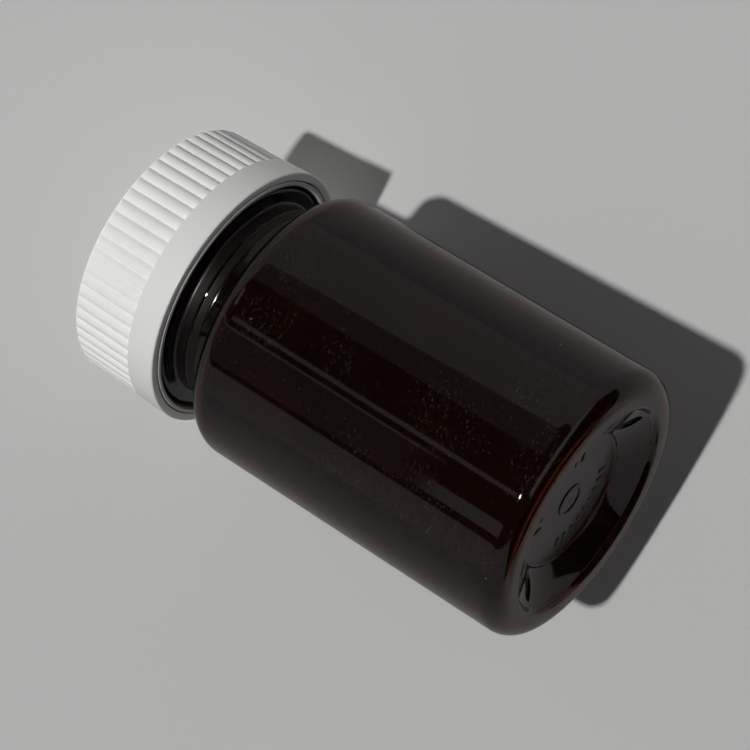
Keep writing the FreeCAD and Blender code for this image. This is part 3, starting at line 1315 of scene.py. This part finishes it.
    def _pocket_shift(self, radius: float, angle: float, height: float) -> Vector:
        """Press a point of the push-up's slope into a pocket.

        Args:
            radius: The point's distance from the axis.
            angle: Its angle.
            height: Its height.

        Returns:
            How far it moves.
        """
        outer = Vector((self.foot_radius - self.foot_run, self.foot_step))
        inner = Vector((self.panel_radius + self.panel_step / 2,
                        self.panel_height - self.panel_step))
        uphill = (inner - outer).normalized()
        offset = Vector((radius, height)) - (outer + inner) / 2
        facing = round(angle / math.pi) * math.pi
        off_slope = abs(offset.cross(uphill)) > self.slope_reach
        if off_slope or abs(angle - facing) > self.fine_half:
            return Vector((0, 0, 0))
        climb = offset.dot(uphill)
        side = -radius * math.sin(angle - facing) * math.cos(facing)
        tilt = Matrix.Rotation(-self.pocket_tilt, 2)
        along, across = tilt @ Vector((climb, side))
        reach = (self._lens_reach(along) - abs(across)) / self.pocket_edge
        press = min(max(reach, 0.0), 1.0)
        press = press * press * (3 - 2 * press) * self.pocket_depth
        into = Vector((uphill.y, -uphill.x)) * press
        return on_circle(into.x, angle, into.y)

    def _lens_reach(self, along: float) -> float:
        """Measure a pocket, which is a lens between two arcs.

        Args:
            along: Distance from its middle along its length.

        Returns:
            Half its width there.
        """
        half, rise = self.pocket_length / 2, self.pocket_width / 2
        bow = (half * half + rise * rise) / (2 * rise)
        if abs(along) >= half:
            return 0.0
        return math.sqrt(bow * bow - along * along) - (bow - rise)

    def _thread(self, finish: bpy.types.Material) -> bpy.types.Mesh:
        """Wind the thread on the finish.

        Args:
            finish: The bottle's material.

        Returns:
            The closed mesh.
        """
        top = self.mouth_height - self.thread_drop - self.thread_root_half
        bar = ThreadBar(depth=self.thread_depth, root_half=self.thread_root_half,
                        crest_half=self.thread_crest_half, turns=self.thread_turns)
        return self.helix.apply(bar.mesh(), finish, Radius=self.finish_radius,
                                Pitch=self.thread_pitch, Turns=self.thread_turns,
                                Start=top - self.thread_pitch * self.thread_turns, Phase=0.0)

    def _marks(self, finish: bpy.types.Material) -> list[bpy.types.Mesh]:
        """Raise the plain marks on the base: a ring and two arcs of bars.

        Args:
            finish: The bottle's material.

        Returns:
            A closed mesh for the ring and for each arc.
        """
        low = self.panel_height - self.mark_height
        high = self.panel_height + self.mark_sink
        outer, inner = self.mark_ring_radius, self.mark_ring_radius - self.mark_ring_width
        section = rounded_profile([
            (inner, high, 0), (inner, low, self.mark_soft), (outer, low, self.mark_soft),
            (outer, high, 0)], self.mark_soft_step)
        meshes = [turned_band("mark_ring", section, self.mark_ring_columns)]
        first = -self.mark_bar_step * (self.mark_bars - 1) / 2
        for facing in (math.pi / 2, -math.pi / 2):
            bar = rounded_bar("mark_bar", Vector((self.mark_arc_radius, 0, low)),
                              Vector((self.mark_bar_length, self.mark_bar_width, high - low)),
                              self.mark_soft)
            meshes.append(self.ring.apply(bar, finish, Count=self.mark_bars,
                                          Step=self.mark_bar_step, First=facing + first))
        return meshes


# ---------------------------------------------------------------- the cap


@dataclass
class OuterCap:
    """The ribbed shell: one rib's sector repeated round the axis, and drive teeth.

    A row of rib_end or band_edge is (out from the crest or the band, up from the
    band's top, share of the rib relief).
    """

    ring: Pattern

    # Ribs
    ribs: int = 62
    groove_depth: float = 0.39 * MM
    groove_share: float = 0.12
    groove_stations: tuple[float, ...] = (0.5, 1.0)
    crown: float = 0.33 * MM
    crest_steps: int = 8
    relief_blend: float = 0.08 * MM
    rib_taper: float = 0.14 * MM
    rib_head: float = 0.3 * MM
    rib_shares: tuple[float, ...] = (0.33, 0.66)
    rib_foot: tuple[float, ...] = (0.5 * MM, 0.3 * MM, 0.18 * MM)
    rib_end: tuple[Row, ...] = ((0.0, 0.09 * MM, 1.0), (-0.01 * MM, 0.03 * MM, 0.97),
                                (-0.01 * MM, 0.005 * MM, 0.85), (0.02 * MM, 0.0, 0.5))
    band_edge: tuple[Row, ...] = ((-0.05 * MM, 0.0, 0.0), (-0.015 * MM, -0.015 * MM, 0.0),
                                  (0.0, -0.05 * MM, 0.0), (0.005 * MM, -0.2 * MM, 0.0))

    # Plain band
    band_height: float = 4.9 * MM
    band_taper: float = 0.16 * MM
    band_step: float = 0.1 * MM
    band_row: float = 1.0 * MM
    band_row_taper: float = 0.8

    # Closed end
    edge_round: float = 1.06 * MM
    edge_steps: int = 9
    edge_row: float = 1.0 * MM
    top_rows: tuple[float, ...] = (0.0, 6 * MM, 14 * MM)

    # Rim, inside and snap bead
    lip_outer: float = 0.25 * MM
    lip_inner: float = 0.15 * MM
    wall: float = 1.3 * MM
    top_wall: float = 1.1 * MM
    top_corner: float = 0.4 * MM
    bead_reach: float = 0.41 * MM
    bead_low: float = 66.3 * MM
    bead_high: float = 66.9 * MM
    bead_ramp: float = 0.12 * MM
    bead_round: float = 0.05 * MM
    inside_step: float = math.radians(15)

    # Drive teeth
    teeth: int = 8
    tooth_height: float = 0.55 * MM
    tooth_sink: float = 0.2 * MM
    tooth_inner: float = 11.0 * MM
    tooth_outer: float = 16.5 * MM
    tooth_angle: float = math.radians(15)

    def __post_init__(self) -> None:
        """Take the overall sizes from the frame."""
        low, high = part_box("outer_cap")
        self.rim = low.z
        self.top = high.z
        self.under = self.top - self.top_wall
        self.radius = (high.x - low.x) / 2
        self.band_top = self.rim + self.band_height
        self.crest_low = self.radius - self.band_taper - self.band_step
        self.crest_high = self.crest_low - self.rib_taper

    def build(self) -> bpy.types.Object:
        """Build the shell and dress it.

        Returns:
            The piece.
        """
        # the ribs above the band get a painted highlight: a lighter colour
        finish = WhitePlastic("shell_plastic", painted_light_above=self.band_top).build()
        parts = [self._repeat(self._sector(), self.ribs, finish),
                 self._repeat(self._tooth(), self.teeth, finish)]
        mesh = joined("outer_cap_mesh", parts)
        return place_piece("cap_shell", mesh, finish, Body.OUTER_CAP, Slot.SHELL, "outer_cap")

    def _repeat(self, mesh: bpy.types.Mesh, count: int,
                finish: bpy.types.Material) -> bpy.types.Mesh:
        """Space copies of a shape, which is centred on +X, evenly round the axis."""
        step = TURN / count
        return self.ring.apply(mesh, finish, Count=count, Step=step, First=step / 2)

    def _crest(self, height: float) -> float:
        """Return the radius of a rib's middle at a height."""
        share = (height - self.band_top) / (self.top - self.band_top)
        return self.crest_low + (self.crest_high - self.crest_low) * share

    def _relief(self, turn: float) -> float:
        """Measure how far the ribs' surface lies inside the crest.

        Args:
            turn: Angle from a rib's middle as a share of half the pitch, -1 to 1.

        Returns:
            The depth in metres.
        """
        edge = 1 - self.groove_share
        turn = abs(turn)
        if turn <= edge:
            return self.crown * (turn / edge) ** 2
        share = (turn - edge) / self.groove_share
        return self.groove_depth - (self.groove_depth - self.crown) * (1 - share) ** 2

    def _cut(self, radius: float, height: float, turn: float) -> float:
        """Measure how far the rib relief cuts in from the outline at a row.

        Args:
            radius: The outline's radius there.
            height: The row's height.
            turn: Angle from the rib's middle as a share of half the pitch.

        Returns:
            The depth, softened where the outline already lies inside the ribs.
        """
        cut = radius - (self._crest(height) - self._relief(turn))
        if cut >= self.relief_blend:
            return cut
        return (cut + math.hypot(cut, self.relief_blend / 2)) / 2

    def _stations(self) -> list[float]:
        """Space a sector's columns from groove to groove, closer in the grooves.

        Returns:
            Angles from the rib's middle as shares of half the pitch, -1 to 1.
        """
        edge = 1 - self.groove_share
        steps = self.crest_steps
        crest = [edge * (2 * k / steps - 1) for k in range(steps + 1)]
        groove = [edge + self.groove_share * share for share in self.groove_stations]
        return [-turn for turn in reversed(groove)] + crest + groove

    def _rows(self) -> list[Row]:
        """List the shell's section, from the top's middle over the ribs to the inside.

        Returns:
            Rows as (radius, height, share of the rib relief).
        """
        inside = rounded_profile(self._inside_corners(), self.inside_step)
        return [*((radius, self.top, 0.0) for radius in self.top_rows),
                *self._edge_rows(),
                *((self._crest(height), height, 1.0) for height in self._rib_heights()),
                *self._step_rows(),
                *((radius, height, 0.0) for radius, height in inside)]

    def _inside_corners(self) -> list[Corner]:
        """List the corners from the band round the rim and the snap bead to the inside.

        Returns:
            The corners.
        """
        inner = self.radius - self.wall
        crest = inner - self.bead_reach
        return [
            (self.radius - self.band_taper * self.band_row_taper, self.band_top - self.band_row, 0),
            (self.radius, self.rim, self.lip_outer),
            (inner, self.rim, self.lip_inner),
            (inner, self.bead_low, 0),
            (crest, self.bead_low + self.bead_ramp, self.bead_round),
            (crest, self.bead_high - self.bead_ramp, self.bead_round),
            (inner, self.bead_high, 0),
            (inner, self.under, self.top_corner),
            (0, self.under, 0),
        ]

    def _edge_rows(self) -> list[Row]:
        """Round the closed end, where the grooves run out through the edge.

        Returns:
            The rows, from the top down.
        """
        centre = self._crest(self.top - self.edge_round) - self.edge_round
        rows = [(centre - self.edge_row, self.top, 0.0)]
        for k in range(self.edge_steps + 1):
            angle = math.pi / 2 * (1 - k / self.edge_steps)
            rows.append((centre + self.edge_round * math.cos(angle),
                         self.top - self.edge_round * (1 - math.sin(angle)), 1.0))
        return rows

    def _rib_heights(self) -> list[float]:
        """Give the heights of the rows along the ribs.

        Returns:
            The heights, from the top down.
        """
        high, low = self.top - self.edge_round, self.band_top
        return [high - self.rib_head, *(high - (high - low) * share for share in self.rib_shares),
                *(low + rise for rise in self.rib_foot)]

    def _step_rows(self) -> list[Row]:
        """Close the ribs' lower ends on the band.

        Returns:
            The rows, from the top down.
        """
        band = self.radius - self.band_taper
        return [(start + out, self.band_top + up, share)
                for start, rows in ((self.crest_low, self.rib_end), (band, self.band_edge))
                for out, up, share in rows]

    def _sector(self) -> bpy.types.Mesh:
        """Build one rib's sector of the shell, from groove to groove.

        Returns:
            The sector, open at its two sides.
        """
        half = math.pi / self.ribs
        stations, rows = self._stations(), self._rows()
        verts = [on_circle(radius - self._cut(radius, height, turn) * share, turn * half, height)
                 for radius, height, share in rows for turn in stations]
        faces = grid_faces(len(rows), len(stations), ends_meet=False, turned=True)
        return mesh_from("shell_sector", verts, faces)

    def _tooth(self) -> bpy.types.Mesh:
        """Build one drive tooth, which hangs under the shell's top."""
        return sector_block("tooth", self.tooth_inner, self.tooth_outer,
                            self.under - self.tooth_height, self.under + self.tooth_sink,
                            self.tooth_angle)


@dataclass
class InnerParts:
    """The threaded inner cap and the liner, which keep their own meshes."""

    colour: Colour = (0.60, 0.60, 0.585)
    gloss: float = 0.4

    def build(self) -> None:
        """Dress both."""
        white = WhitePlastic("inner_plastic", colour=self.colour, gloss=self.gloss)
        dress("inner_cap", white.build())
        dress("liner", SealingBoard().build())


# ------------------------------------------------------------------ the stage


def add_lamp(name: str, kind: str, strength: float, way: Vector) -> bpy.types.Object:
    """Add a lamp.

    Args:
        name: Its name.
        kind: Blender's type of it.
        strength: Its energy.
        way: The direction towards it from what it lights.

    Returns:
        The lamp's object, at the origin.
    """
    light = bpy.data.lights.new(name, kind)
    light.energy = strength
    lamp = add_object(name, light)
    lamp.rotation_euler = way.to_track_quat("Z", "Y").to_euler()
    return lamp


@dataclass(frozen=True)
class Patch:
    """A part of the surround, in degrees: azimuth from -Y towards +X, and elevation.

    With a slant, the azimuth limits apply to azimuth minus slant times elevation.
    """

    azimuth: Point
    elevation: Point
    level: float = 0.0
    soft: float = 0.6
    slant: float = 0.0

    def mask(self, azimuth: Value, elevation: Value) -> Value:
        """Be 1 in the patch, given a direction's azimuth and elevation."""
        across = (azimuth - elevation * self.slant).within(*self.azimuth, self.soft)
        return across * elevation.within(*self.elevation, self.soft)


@dataclass(frozen=True)
class SoftLamp:
    """A large lamp that fills a side and shows in no reflection."""

    name: str
    place: tuple[float, float, float]
    size: float
    power: float

    def build(self) -> None:
        """Hang the lamp, turned to the object's middle."""
        low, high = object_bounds()
        place = Vector(self.place)
        lamp = add_lamp(self.name, "AREA", self.power, place - (low + high) / 2)
        lamp.location = place
        lamp.data.shape = "SQUARE"
        lamp.data.size = self.size
        lamp.visible_glossy = False
        lamp.visible_transmission = False


@dataclass(frozen=True)
class Board:
    """A flat card under the base that glows at its level and is seen in reflections alone; it
    paints a dark or a pale reflection.
    """

    name: str
    across: Point
    along: Point
    depth: float
    level: float = 0.003


@dataclass
class Studio:
    """A pale sheet behind, a pale floor, a sun-like key and a pale surround with a dark side.

    Angles of the surround and its patches are in degrees.
    """

    # Key light
    key_azimuth: float = math.radians(-17)
    key_elevation: float = math.radians(-2.1)
    key_strength: float = 2.15
    key_spread: float = math.radians(2.2)

    # Paper and boards
    half_size: float = 3.0
    floor_drop: float = 0.02 * MM
    sheet_tilt: float = math.radians(9)
    cap_inset: float = 0.9 * MM
    # glowing cards seen only in reflections: two dark ones and a pale strip, which paint
    # reflections
    boards: tuple[Board, ...] = (
        Board("near_board", (-4.6 * MM, 1.0 * MM), (17.6 * MM, 21.7 * MM), 11 * MM),
        Board("far_board", (-45 * MM, 0.17), (-72 * MM, 15 * MM), 44 * MM),
        Board("pale_edge", (-15 * MM, 0.17), (-88 * MM, -55 * MM), 43.5 * MM, 0.45),
    )

    # Surround
    surround: float = 0.26
    fill_share: float = 0.58
    low_fill: float = 0.75
    low_fill_from: float = -10.0
    low_fill_fade: float = 30.0
    background: float = 0.80
    dark_level: float = 0.012
    dark_side: Patch = Patch((-60.5, 47.0), (-95.0, 61.0), soft=0.8)
    dark_side_cut: Patch = Patch((-400.0, 63.7), (-95.0, 95.0), slant=-1.15)
    dark_back: Patch = Patch((128.0, 176.0), (-95.0, 50.0), soft=1.5)
    patches: tuple[Patch, ...] = (
        Patch((-56.0, -26.0), (21.8, 58.0), 0.08),
        Patch((-26.3, -24.2), (21.6, 57.0), 0.28, 0.4),
        Patch((-19.6, -16.0), (14.0, 27.0), 0.28, 0.4),
        Patch((-53.5, -42.0), (8.0, 21.4), 0.28, 0.5),
        Patch((17.0, 40.0), (12.0, 60.0), 0.09, 1.0),
        Patch((-9.0, 7.0), (34.0, 46.0), 0.45, 2.0),
    )

    # Soft lamps
    lamps: tuple[SoftLamp, ...] = (
        SoftLamp("top", (-0.05, -0.1, 0.85), 0.6, 3.4),
        SoftLamp("rear", (0.45, 0.75, 0.45), 0.7, 5.0),
    )

    def build(self) -> None:
        """Set the stage."""
        paper = PalePaper().build()
        self._sheet(paper)
        self._floor(paper)
        for board in self.boards:
            self._board(board)
        self._key()
        for lamp in self.lamps:
            lamp.build()
        self._world()
        LOG.info("stage: sheet, floor, %d boards, key, %d soft lamps, surround",
                 len(self.boards), len(self.lamps))

    def _sheet(self, paper: bpy.types.Material) -> None:
        """Stand the sheet behind the object, where it touches the cap.

        Args:
            paper: Its finish.
        """
        _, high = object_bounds()
        away = Vector((0, math.cos(self.sheet_tilt), math.sin(self.sheet_tilt)))
        rise = Vector((0, -away.z, away.y))
        contact = Vector((0, high.y - self.cap_inset, high.z))
        sheet = self._plane("sheet", away * away.dot(contact), Vector((self.half_size, 0, 0)),
                            rise * self.half_size, paper)
        sheet.visible_diffuse = False

    def _floor(self, paper: bpy.types.Material) -> None:
        """Lay the floor, which only the camera sees.

        Args:
            paper: Its finish.
        """
        floor = self._plane("floor", Vector((0, 0, -self.floor_drop)),
                            Vector((self.half_size, 0, 0)), Vector((0, self.half_size, 0)), paper)
        floor.visible_diffuse = floor.visible_glossy = floor.visible_transmission = False

    def _board(self, board: Board) -> None:
        """Lay a glowing card under the base; only reflections see it, so it paints a reflection.

        Args:
            board: The board.
        """
        material, graph = new_material(board.name)
        graph.show(graph.value("ShaderNodeEmission", inputs={
            "Color": WHITE_LIGHT, "Strength": board.level}))
        (left, right), (near, far) = board.across, board.along
        plane = self._plane(
            board.name, Vector(((left + right) / 2, (near + far) / 2, -board.depth)),
            Vector(((right - left) / 2, 0, 0)), Vector((0, (far - near) / 2, 0)), material)
        plane.visible_camera = plane.visible_diffuse = plane.visible_transmission = False

    @staticmethod
    def _plane(name: str, centre: Vector, across: Vector, along: Vector,
               material: bpy.types.Material) -> bpy.types.Object:
        """Add a flat piece of the stage that throws no shadow.

        Args:
            name: Its name.
            centre: Its middle.
            across: Half of its first side.
            along: Half of its second side; its front is towards across x along.
            material: Its finish.

        Returns:
            The object.
        """
        corners = [centre - across - along, centre + across - along,
                   centre + across + along, centre - across + along]
        mesh = mesh_from(name, corners, [(0, 1, 2, 3)], smooth=False)
        mesh.materials.append(material)
        plane = add_object(name, mesh)
        plane.visible_shadow = False
        plane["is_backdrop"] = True
        return plane

    def _key(self) -> None:
        """Hang the key light."""
        flat = math.cos(self.key_elevation)
        way = Vector((math.sin(self.key_azimuth) * flat, -math.cos(self.key_azimuth) * flat,
                      math.sin(self.key_elevation)))
        key = add_lamp("key", "SUN", self.key_strength, way)
        key.data.angle = self.key_spread

    def _world(self) -> None:
        """Paint the surround by direction; the camera sees plain pale ground instead."""
        world = bpy.data.worlds.new("surround")
        bpy.context.scene.world = world
        world.use_nodes = True
        world.node_tree.nodes.clear()
        graph = Graph(world.node_tree)
        x, y, z = graph.split(graph.value("ShaderNodeTexCoord", out="Generated"))
        azimuth = x.math("ARCTAN2", y * -1) * math.degrees(1)
        elevation = z.math("ARCSINE") * math.degrees(1)
        dark = (self.dark_side.mask(azimuth, elevation)
                * self.dark_side_cut.mask(azimuth, elevation))
        dark = dark.math("MAXIMUM", self.dark_back.mask(azimuth, elevation))
        level = dark * (self.dark_level - self.surround) + self.surround
        for patch in self.patches:
            level = level.math("MAXIMUM", patch.mask(azimuth, elevation) * patch.level)
        rays = graph.add("ShaderNodeLightPath")
        plain = Value(graph, rays.outputs["Is Camera Ray"]).math(
            "MAXIMUM", Value(graph, rays.outputs["Is Transmission Ray"]))
        low = elevation.rise(self.low_fill_from, self.low_fill_from - self.low_fill_fade)
        share = low * self.low_fill
        fill = 1 - Value(graph, rays.outputs["Is Diffuse Ray"]) * (1 - self.fill_share - share)
        strength = level * fill * (1 - plain) + plain * self.background
        graph.show(graph.value("ShaderNodeBackground", inputs={
            "Color": WHITE_LIGHT, "Strength": strength}), "ShaderNodeOutputWorld")


@dataclass
class Camera:
    """A long lens that looks up along the bottle from its base."""

    distance: float = 420.7 * MM
    aim: tuple[float, float, float] = (0.5 * MM, 0.0, 39.45 * MM)
    rise: float = math.radians(23.38)
    roll: float = math.radians(-58.22)
    lens: float = 136.9
    sensor: float = 36.0
    clip: Point = (0.01, 10.0)

    def build(self) -> None:
        """Place the camera."""
        data = bpy.data.cameras.new("camera")
        data.lens = self.lens
        data.sensor_width = self.sensor
        data.clip_start, data.clip_end = self.clip
        way = Vector((0, math.cos(self.rise), math.sin(self.rise)))
        right = Vector((1, 0, 0))
        up = right.cross(way)
        turned_right = right * math.cos(self.roll) + up * math.sin(self.roll)
        axes = Matrix((turned_right, turned_right.cross(way), -way)).transposed()
        camera = add_object("camera", data)
        camera.matrix_world = axes.to_4x4()
        camera.location = Vector(self.aim) - way * self.distance
        bpy.context.scene.camera = camera
        LOG.info("camera at %s", tuple(round(c, 4) for c in camera.location))


def main() -> None:
    """Build the pieces and the stage, in order."""
    logging.basicConfig(level=logging.INFO, format="%(name)s: %(message)s")
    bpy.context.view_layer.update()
    ring, helix = ring_pattern(), helix_pattern()
    Bottle(ring, helix).build()
    OuterCap(ring).build()
    InnerParts().build()
    Studio().build()
    Camera().build()
    bpy.context.scene.view_settings.view_transform = "Standard"


if __name__ == "__main__":
    main()
